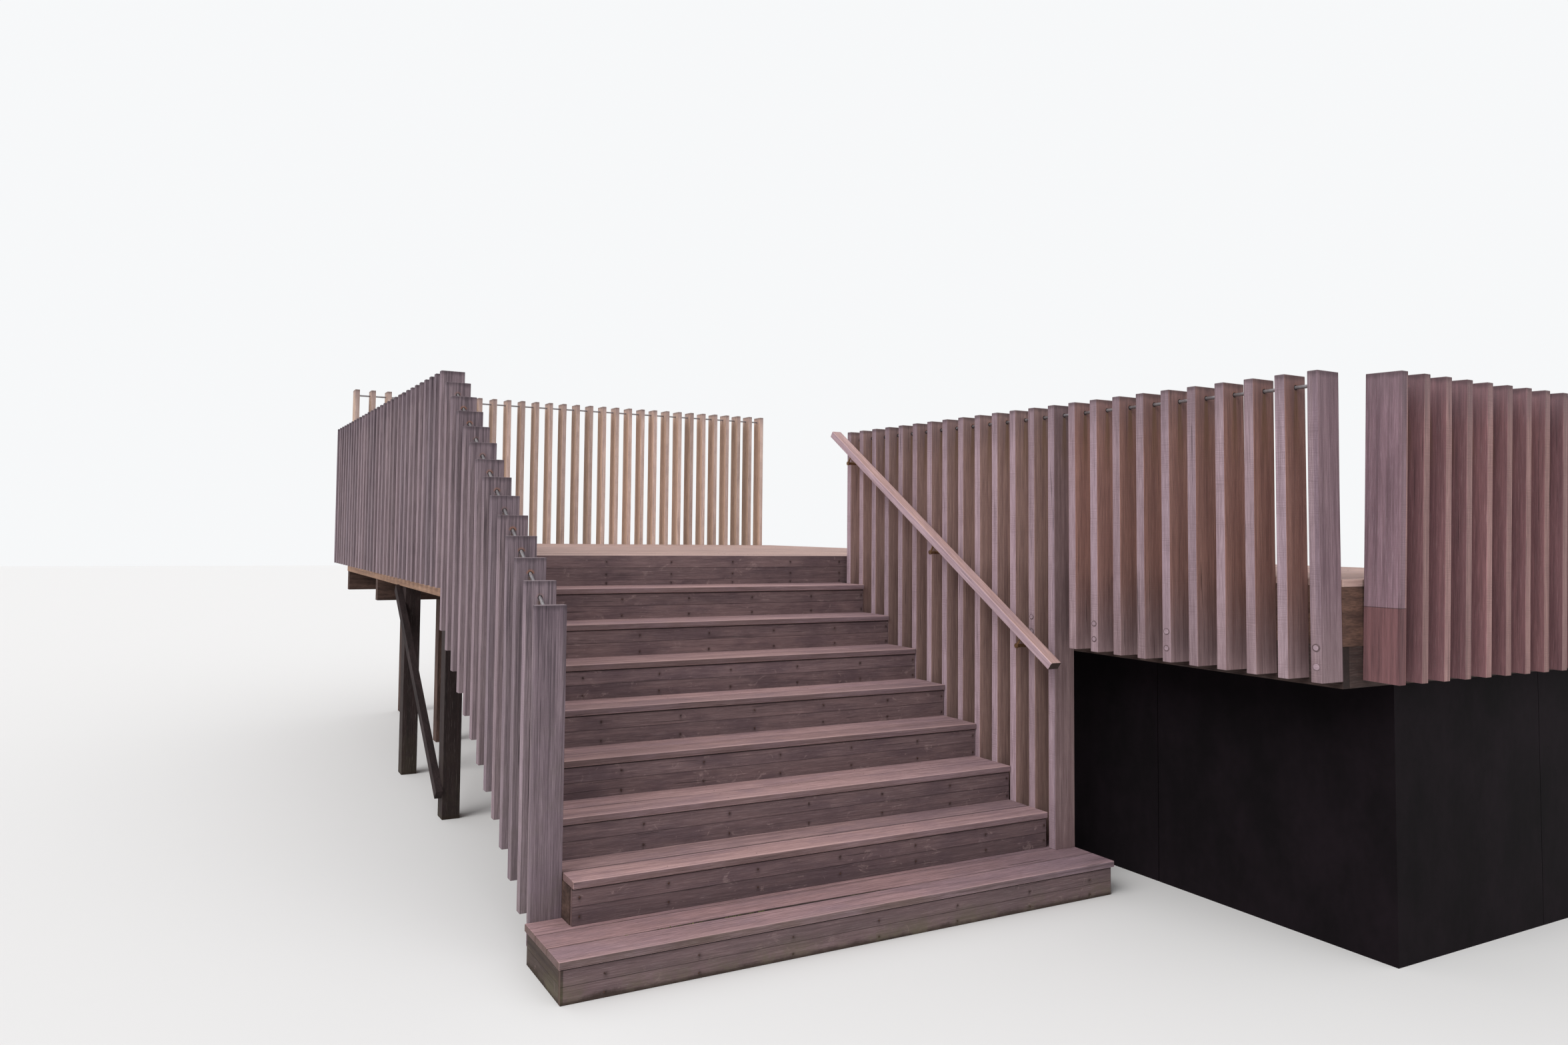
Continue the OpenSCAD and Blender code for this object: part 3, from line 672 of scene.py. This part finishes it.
line = node(litter, "GeometryNodeMeshLine", {"Count": given["Count"], "Start Location": given["Start"],
                                             "Offset": given["End"]}, mode="END_POINTS")
spots = node(litter, "GeometryNodeMeshToPoints", {"Mesh": line})
spots = node(litter, "GeometryNodeSetPosition",
             {"Geometry": spots, "Offset": chance((-0.006, -0.0022, -0.006), (0.006, 0.0022, 0.0015))})
bare = noise(node(litter, "GeometryNodeInputPosition"), 4.2) < 0.5
spots = node(litter, "GeometryNodeDeleteGeometry", {0: spots, 1: bare}, domain="POINT")
clump = node(litter, "GeometryNodeMeshIcoSphere", {"Radius": given["Clump size"], "Subdivisions": 1})
spin = node(litter, "FunctionNodeEulerToRotation", {0: chance((0, 0, 0), (6.28, 6.28, 6.28))})
clumps = node(litter, "GeometryNodeInstanceOnPoints",
              {"Points": spots, "Instance": clump, "Rotation": spin,
               "Scale": chance((0.5, 0.4, 0.4), (1.7, 0.9, 1.0))})
give(Clumps=made_of(clumps, given["Litter"]))

moss, moss_shader, spot = new_finish("Moss and leaf litter", Roughness=0.95)
moss_colour = tint(soft_step(noise(spot, 14.0, 5.0), 0.45, 0.6), (58, 42, 34), (96, 96, 46))
moss_colour = tint(fade(noise(spot, 420.0), 0.35, 0.65, 0.5), moss_colour, (34, 27, 22))
feed(moss_shader, {"Base Color": moss_colour})
front_row, second_row = sorted(boards_in("base_step_tread"), key=lambda b: b[0].y)[:2]
gap_y = (front_row[0].y + front_row[1].y / 2 + second_row[0].y - second_row[1].y / 2) / 2
litter_z = front_row[0].z + front_row[1].x / 2 - litter_sunk
set_in_place(points_for("base_gap_litter", litter, {
    "Start": (litter_from_x, gap_y, litter_z), "End": (litter_to_x, gap_y, litter_z), "Count": 560,
    "Clump size": 0.0042, "Seed": 3, "Litter": moss}, [(0, 0, 0)], {}), "tread_wood")

# Wire nails hold the boards, driven nearly flush. Their round heads are rusted brown, and no two are
# quite of one size.
nail_head_r = 0.0032
nail_proud = 0.0016
tread_nail_r = 0.0028
tread_nail_proud = 0.001
tread_nail_sunk = 0.0012
nail_aside = 0.3
base_nail_spread = 1.005
nail_heads, given, give = new_group("Nail heads", {
    "Spots": "Geometry", "Head radius": 0.003, "Head height": 0.001, "Sides": 8, "Seed": 1,
    "Metal": "Material"}, ("Heads",), "Geometry")
head = node(nail_heads, "GeometryNodeMeshCone",
            {"Vertices": given["Sides"], "Radius Top": given["Head radius"] * 0.72,
             "Radius Bottom": given["Head radius"], "Depth": given["Head height"]})
nail_way = named(nail_heads, "nail_way")
aimed = node(nail_heads, "FunctionNodeAlignRotationToVector", {"Vector": nail_way}, axis="Z")
odd_size = node(nail_heads, "FunctionNodeRandomValue", {2: 0.88, 3: 1.12, "Seed": given["Seed"]}, 1,
                data_type="FLOAT")
heads = node(nail_heads, "GeometryNodeInstanceOnPoints",
             {"Points": given["Spots"], "Instance": head, "Rotation": aimed, "Scale": odd_size})
give(Heads=made_of(heads, given["Metal"]))

rusted, rust_shader, spot = new_finish("Rusted nail steel", Roughness=0.75, Metallic=0.35)
rust_colour = tint(soft_step(noise(spot, 160.0, 3.0), 0.35, 0.65), (44, 29, 25), (92, 58, 42))
feed(rust_shader, {"Base Color": rust_colour})


def nail_on(name, spots, slot="bracket_metal", radius=nail_head_r, proud=nail_proud, metal=rusted, sides=8,
            seed=1):
    """Sets nail heads at the given spots, each with the way it faces."""
    inputs = {"Head radius": radius, "Head height": proud, "Sides": sides, "Seed": seed, "Metal": metal}
    facts = {"nail_way": [s[1] for s in spots]}
    set_in_place(points_for(name, nail_heads, inputs, [s[0] for s in spots], facts), slot)


def nails_down(name, lines, from_end=0.0, sunk=tread_nail_sunk):
    """Two nail spots in every flat board of a node, on each line that crosses it inside its ends."""
    return [((line, middle.y + side * size.y, middle.z + size.x / 2 - sunk), (0, 0, 1))
            for middle, size, turned in boards_in(name)
            for line in lines if abs(line - middle.x) < size.z / 2 - from_end
            for side in (-nail_aside, nail_aside)]


front_boards = [board for board in boards_in("base_step_risers") if board[1].z > 2]
nail_on("base_riser_nails", [((line * base_nail_spread, middle.y - size.x / 2, middle.z - base_nail_drop),
                              (0, -1, 0)) for middle, size, turned in front_boards for line in nail_lines])
nail_on("base_tread_nails", nails_down("base_step_tread", nail_lines), radius=tread_nail_r,
        proud=tread_nail_proud, seed=2)

# The carriage of the flight is hidden: saw-toothed stringers, joists, bearers, ledgers and posts of
# rough sawn softwood, stained dark. Their solids stay and take the rough finish.
frame_colours = ((96, 75, 67), (55, 41, 37))


def rough_finish(name, colours, stretch=(9, 9, 9), rough=0.88, fine_share=0.4, shine=timber_shine):
    """Rough sawn framing, whose grain reads the piece's own place, because it has no board facts."""
    finish, shader, spot = new_finish(name, Roughness=rough, Specular_IOR_Level=shine)
    broad = noise(spot * stretch, 3.0, 6.0, 0.65)
    fine = noise(spot * stretch, 28.0, 3.0)
    colour = tint(soft_step(broad, 0.3, 0.7), colours[1], colours[0])
    colour = tint(fade(fine, 0.35, 0.6, fine_share), colour, toned(colours[1], 0.6))
    bump = node(spot.tree, "ShaderNodeBump", {"Height": fine, "Distance": 0.001, "Strength": 0.6})
    feed(shader, {"Base Color": colour, "Normal": bump})
    return finish


def refinish(finish, *nodes):
    """Gives CAD nodes that stay a finish of their own."""
    for name in nodes:
        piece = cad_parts[name]
        if not piece.material_slots:
            piece.data.materials.append(finish)
        for place in piece.material_slots:
            place.link = "OBJECT"
            place.material = finish


refinish(rough_finish("Sloping frame timber", frame_colours, (6, 2.5, 4)),
         "left_stringer", "right_stringer", "inner_stringers", "base_step_frame")
refinish(rough_finish("Joist timber", frame_colours, (8, 1, 8)),
         "deck_joists", "wing_joists", "deck_rims", "house_ledger", "skirt_frame")
refinish(rough_finish("Bearer timber", frame_colours, (1, 8, 8)), "deck_bearers")
refinish(rough_finish("Post timber", frame_colours, (9, 9, 1)), "inner_posts")

# Risers close each step with two boards, one over the other with a fine open joint, and a strip at
# the foot of the top one, which runs on behind the last fin. A rusty nail in each board marks
# every stringer behind it.
last_riser_y = 2.1
last_riser_longer = 0.13
strip_w = 0.05
# The lower risers are darker by the side colours, and each riser is dark just under the nosing above it: both
# painted shade.
riser_finish = timber_finish(
    "Riser timber", ((128, 104, 105), (108, 88, 90)), (58, 43, 44), knot_rate=2.6, knot_size=0.011, ring=0.12,
    lines=0.22, patch=(84, 67, 74), patch_share=0.62, scuffs=0.3, nails=0.0, worn=(46, 34, 35), edge=0.003,
    painted_nose_shadow=0.85, end=(84, 62, 58), side=(2, 0.4, 0.4, (104, 83, 86), (86, 69, 72), 0.9))
sawn_boards("riser_boards", ["stair_risers"], riser_finish, "riser_wood", cuts=12, uneven=0.0005, bow=0.0005,
            ease=0.0014, seed=3, swell=0.0036, longer=(last_riser_y, last_riser_longer))
nail_on("riser_nails", [((line, middle.y - size.x / 2, middle.z), (0, -1, 0))
                        for middle, size, turned in boards_in("stair_risers") if size.y > strip_w
                        for line in nail_lines], seed=3)

# Each tread is two sawn boards with a gap between them, worn pale along the nosing by feet and
# streaked lengthwise by rain; small nail heads show over the stringers.
first_nosing_y = 0.2485
# Towards the right wall the treads turn greyer by the side colours: partly damper, less worn wood, partly
# painted shade.
tread_finish = timber_finish(
    "Tread timber", ((184, 148, 146), (148, 117, 118)), (84, 63, 63), ((124, 101, 101), (98, 79, 80)),
    knot_rate=1.2, knot_size=0.009, ring=0.26, lines=0.42, patch=(132, 108, 118), worn=(194, 158, 154),
    wear=0.32, nosing=(first_nosing_y, step_going), gap_dark=0.45, edge=0.004, end=(100, 74, 68),
    side=(0, 0.8, -0.7, (150, 126, 136), (118, 97, 107), 0.5))
treads = ["tread_%d" % n for n in range(2, 9)]
sawn_boards("stair_treads", treads, tread_finish, "tread_wood",
            cuts=14, uneven=0.0012, bow=0.0012, twist=0.002, ease=0.004, seed=4)
nail_on("tread_nails", [nail for name in treads for nail in nails_down(name, nail_lines)],
        radius=tread_nail_r, proud=tread_nail_proud, seed=4)

# The left screen: upright fins sawn 145 by 45 that step up with the flight and run level along the
# deck, threaded on a rod. They are greyest, streaked dark by rain from their cut tops.
left_x = -1.45
left_slope_from = (0.3755, 1.454)
left_slope_ends = (0.398, 2.115)
left_deck_rod_z = 2.757
left_deck_ends = (2.255, 6.55)
# The wide sides are paler than the narrow ones: painted light in the shaded gaps between fins. The first
# fin's open front keeps a darker colour.
left_wide_gap_lit = ((154, 137, 143), (130, 113, 120))
left_narrow = ((140, 122, 130), (119, 102, 110))
left_front = ((128, 111, 121), (105, 89, 99))
left_dark = (64, 53, 60)
left_first_fin = min(board[0].y for board in boards_in("left_stair_fins"))
left_options = dict(knot_rate=1.2, knot_size=0.01, ring=0.1, end=(150, 134, 138), damp=(94, 79, 88),
                    damp_share=0.45, damp_reach=0.12, runs=0.3)
far_off = 9.0


def above_rod(above, along, ends):
    """A spot's height over a rod, put far off it beyond the rod's ends, which stop inside two fins."""
    start, end = ends
    return above + (abs(along - (start + end) / 2) > (end - start) / 2) * far_off


def left_slope_rod(spot):
    """How far a spot is across from and above the sloping rod of the left screen."""
    x, y, z = spot.parts
    rod_z = (y - left_slope_from[0]) * flight_slope + left_slope_from[1]
    return x - left_x, above_rod(z - rod_z, y, left_slope_ends)


def level_rod(rod_x, rod_z, ends):
    """The same for a level rod that runs along the deck's side."""
    def apart(spot):
        x, y, z = spot.parts
        return x - rod_x, above_rod(z - rod_z, y, ends)
    return apart


def fins(name, finish, cuts, seed, lean=0.0):
    """A screen's fins, sawn rough and each a little twisted."""
    sawn_boards(name[:-1] + "_timbers", [name], finish, "fin_wood", cuts=cuts, uneven=0.0012, bow=0.0022,
                twist=0.011, ease=0.002, seed=seed, lean=lean)


left_stair_finish = timber_finish(
    "Left stair fin timber", left_wide_gap_lit, left_dark, left_narrow, lines=0.45, green=0.25, green_reach=1.5,
    saw=0.5, rod=left_slope_rod, drips=0.6, drip_reach=0.9, rust=0.5,
    side=(1, left_first_fin, 0.001, *left_front, 0.8), **left_options)
left_deck_finish = timber_finish(
    "Left deck fin timber", left_wide_gap_lit, left_dark, left_narrow, lines=0.42, saw=0.6,
    rod=level_rod(left_x, left_deck_rod_z, left_deck_ends), drips=0.55, drip_reach=0.7, rust=0.4,
    **left_options)
fins("left_stair_fins", left_stair_finish, cuts=14, seed=5)
fins("left_deck_fins", left_deck_finish, cuts=12, seed=6)

# The right wall: the same fins beside the flight and hung on the wing's side, browner on the wide
# sides that the weather reaches less, paler and band-sawn on the narrow ones. On the wing's fins the
# wide sides are warmer still with painted warm lamplight, above a lilac foot of painted shadow.
right_x = 1.45
right_rod_z = 2.525
right_rod_ends = (-1.2, 2.075)
# The wing's wide sides carry painted warm lamplight; their foot colour below is painted shadow.
right_wide_lamp_lit = ((170, 126, 114), (139, 100, 92))
right_stair_wide = ((162, 131, 122), (134, 105, 99))
right_narrow = ((160, 138, 148), (142, 120, 130))
right_foot_shadowed = ((156, 134, 140), (126, 105, 110))
right_front = ((143, 121, 135), (101, 83, 97))
right_stair_front = ((110, 98, 117), (80, 70, 87))
right_dark = (76, 57, 58)
right_rows = sorted(boards_in("right_deck_fins") + boards_in("right_stair_fins"), key=lambda b: b[0].y)
wall_options = dict(knot_rate=1.4, knot_size=0.011, ring=0.1, end=(112, 92, 90), damp=(106, 88, 94),
                    drips=0.2, drip_reach=0.45)
right_options = dict(saw=0.75, rod=level_rod(right_x, right_rod_z, right_rod_ends), damp_share=0.38,
                     damp_reach=0.16, **wall_options)
right_stair_finish = timber_finish(
    "Right stair fin timber", right_stair_wide, right_dark, right_narrow,
    side=(1, 0.2, 0.02, *right_stair_front, 0.9), **right_options)
# The foot colour is painted shadow under the painted lamplight above it.
right_deck_finish = timber_finish(
    "Right deck fin timber", right_wide_lamp_lit, right_dark, right_narrow, foot=(0.5, *right_foot_shadowed),
    side=(1, right_rows[0][0].y, 0.002, *right_front, 0.85), **right_options)
fins("right_stair_fins", right_stair_finish, cuts=14, seed=7)
fins("right_deck_fins", right_deck_finish, cuts=12, seed=8)

# Round wooden plugs close the bolt holes of the fins that hold the wall to the wing, two to a fin. Each
# stands a little proud, in a thin darker rim.
plug_r = 0.0145
plug_rim = 0.0011
plug_proud = 0.0032
rim_proud = 0.0024
plug_sides = 20
plugged_fins = (0, 5, 8, 11)
plug_heights = (1.33, 1.41)
plug_finish = rough_finish("Plug timber", ((166, 145, 152), (142, 121, 129)), (30, 2, 30))
rim_finish = rough_finish("Plug rim", ((116, 97, 100), (94, 77, 80)))
plug_spots = [((right_rows[i][0].x - right_rows[i][1].y / 2, right_rows[i][0].y, z), (-1, 0, 0))
              for i in plugged_fins for z in plug_heights]
nail_on("bolt_plug_rims", plug_spots, "fin_wood", plug_r + plug_rim, rim_proud, rim_finish, plug_sides, 5)
nail_on("bolt_plugs", plug_spots, "fin_wood", plug_r, plug_proud, plug_finish, plug_sides, 6)

# The wing's front wall is the same fins on a rod of their own. It leans out a little, and its first fin
# has a newer, redder foot, cut in square.
front_lean = math.radians(1.394)
front_rod_y = -1.2925 - 1.114 * math.tan(front_lean)
first_fin_x = 1.69
front_rod_ends = (first_fin_x, 3.48)
new_foot = (1.75, 1.58, ((114, 73, 73), (72, 46, 47)))


def front_rod_at(spot):
    """How far a spot is across from and above the front wall's rod."""
    x, y, z = spot.parts
    return y - front_rod_y, above_rod(z - right_rod_z, x, front_rod_ends)


front_finish = timber_finish(
    "Front fin timber", ((135, 93, 97), (106, 71, 76)), right_dark, ((155, 120, 117), (129, 97, 95)),
    lines=0.3, saw=0.65, rod=front_rod_at, damp_share=0.4, splice=new_foot,
    side=(0, first_fin_x, 0.001, (134, 109, 121), (92, 73, 83), 0.88), **wall_options)
fins("front_fins", front_finish, cuts=12, seed=9, lean=front_lean)

# The rear screen is made as the others are, of taller fins. Their front sides are tan, partly because
# the weather is kept off them and partly painted warm lamplight.
rear_finish = timber_finish(
    "Rear fin timber", ((208, 176, 154), (178, 148, 128)), right_dark, ((210, 184, 172), (180, 155, 146)),
    knot_rate=1.2, knot_size=0.01, ring=0.1, lines=0.18, saw=0.6, end=(130, 108, 104), damp=(150, 128, 124),
    damp_reach=0.08, drips=0.2)
fins("rear_fins", rear_finish, cuts=12, seed=10)

# Galvanised steel rods thread the fins of every screen, through a hole bored in each fin. Both ends of
# a rod stop inside its last fins.
rod_set_in = 0.012
end_depth = 0.002
rod_ways = {"left_stair_rod": (0, 1, flight_slope), "left_deck_rod": (0, 1, 0), "right_rod": (0, 1, 0),
            "front_rod": (1, 0, 0), "rear_rod": (1, 0, 0)}
zinc, zinc_shader, spot = new_finish("Galvanised steel", Metallic=0.75)
spangle = node(zinc.node_tree, "ShaderNodeTexVoronoi", {"Vector": spot, "Scale": 130.0}, "Color")
rust_at = noise(spot, 18.0, 5.0)
zinc_colour = tint(spangle.parts[0] * 0.5, (150, 146, 148), (112, 108, 112))
zinc_colour = tint(soft_step(rust_at, 0.6, 0.72, 0.0, 0.7), zinc_colour, (116, 72, 44))
feed(zinc_shader, {"Base Color": zinc_colour, "Roughness": soft_step(rust_at, 0.4, 0.7, 0.36, 0.7)})

for name, way in rod_ways.items():
    way = Vector(way).normalized()
    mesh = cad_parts[name].data.copy()
    reach = [v.co.dot(way) for v in mesh.vertices]
    for v, at in zip(mesh.vertices, reach):
        v.co += way * rod_set_in * ((at < min(reach) + end_depth) - (at > max(reach) - end_depth))
    mesh.materials.clear()
    mesh.materials.append(zinc)
    bar = bpy.data.objects.new(name.replace("_rod", "_bar"), mesh)
    scene.collection.objects.link(bar)
    set_in_place(bar, "galvanised_steel", name)

# The handrail is a dressed length that climbs beside the right wall, laid flat on three metal brackets.
# Its top is worn tan by hands.
rail_finish = timber_finish(
    "Rail timber", ((186, 152, 146), (158, 126, 122)), (98, 76, 74), ((170, 146, 154), (146, 123, 132)),
    knot_rate=0.8, knot_size=0.009, ring=0.12, patch=(146, 124, 134), patch_share=0.4, worn=(188, 158, 156),
    wear=0.3, end=(54, 41, 36), end_share=0.96)
sawn_boards("handrail_length", ["handrail"], rail_finish, "rail_wood", cuts=12, uneven=0.0004, bow=0.0004,
            ease=0.005, seed=12, lean=math.atan(flight_slope))

brass, brass_shader, spot = new_finish("Dull bracket metal", Metallic=0.85)
tarnish = noise(spot, 60.0, 4.0)
feed(brass_shader, {"Base Color": tint(soft_step(tarnish, 0.35, 0.7), (150, 118, 84), (104, 78, 58)),
                    "Roughness": soft_step(tarnish, 0.3, 0.7, 0.3, 0.55)})
refinish(brass, "handrail_brackets")

# The deck and its wing are laid with the same boards as the treads, a gap between each two, and every
# board is nailed down over every joist.
deck_nail_from_end = 0.02
deck_nail_sunk = 0.001
deck_finish = timber_finish(
    "Deck timber", ((196, 165, 155), (169, 140, 133)), (98, 76, 70), knot_rate=1.2, knot_size=0.009,
    patch=(132, 112, 112), patch_share=0.45, worn=(184, 154, 144), wear=0.4, end=(104, 78, 70))
sawn_boards("deck_planks", ["deck_boards"], deck_finish, "tread_wood", cuts=10, ease=0.003, seed=13)
sawn_boards("wing_planks", ["wing_boards"], deck_finish, "tread_wood", cuts=8, ease=0.003, seed=14)
deck_nails = []
for name, joists in (("deck_boards", "deck_joists"), ("wing_boards", "wing_joists")):
    joist_lines = sorted({round(board[0].x, 3) for board in boards_in(joists)})
    deck_nails += nails_down(name, joist_lines, deck_nail_from_end, deck_nail_sunk)
nail_on("deck_nails", deck_nails, radius=tread_nail_r, proud=tread_nail_proud, sides=6, seed=8)

# Long boards set on edge close the sides of the deck: the left edge beam, and the wing's rims with
# their dark fascias.
edge_knots = dict(knot_rate=1.6, knot_size=0.012)
beam_finish = timber_finish("Edge beam timber", ((176, 138, 112), (144, 110, 90)), (84, 60, 50),
                            end=(104, 78, 70), **edge_knots)
sawn_boards("edge_beam_length", ["left_edge_beam"], beam_finish, "riser_wood", cuts=12, ease=0.002, seed=15)
fascia_finish = timber_finish("Fascia timber", ((66, 50, 46), (48, 36, 34)), (24, 17, 17), **edge_knots)
sawn_boards("wing_fascias", ["wing_side_fascia", "wing_front_fascia"], fascia_finish, "riser_wood", cuts=9,
            ease=0.002, seed=16)
rim_wood = rough_finish("Rim timber", ((110, 82, 70), (66, 48, 43)), (1, 8, 8))
refinish(rim_wood, "wing_side_rim", "wing_front_rim")

# Two square posts and a sloping brace carry the deck's left edge. They are dark, and the posts are a
# little green near the ground.
post_finish = timber_finish("Edge post timber", ((52, 39, 39), (37, 28, 28)), (22, 16, 16), green=0.2,
                            green_reach=0.5, **edge_knots)
sawn_boards("edge_post_timbers", ["edge_posts"], post_finish, "riser_wood",
            cuts=8, twist=0.004, ease=0.003, seed=17)
refinish(rough_finish("Brace timber", ((56, 44, 44), (36, 28, 28)), (9, 3, 2)), "post_brace")

# A skirt of black-painted sheet closes the space under the wing. It is fixed to a frame of its own,
# which is finished with the joists.
skirt_finish = rough_finish("Skirt paint", ((24, 18, 22), (14, 11, 13)), (1, 1, 0.6), rough=0.8,
                            fine_share=0.15, shine=0.06)
refinish(skirt_finish, "side_skirt", "front_skirt")
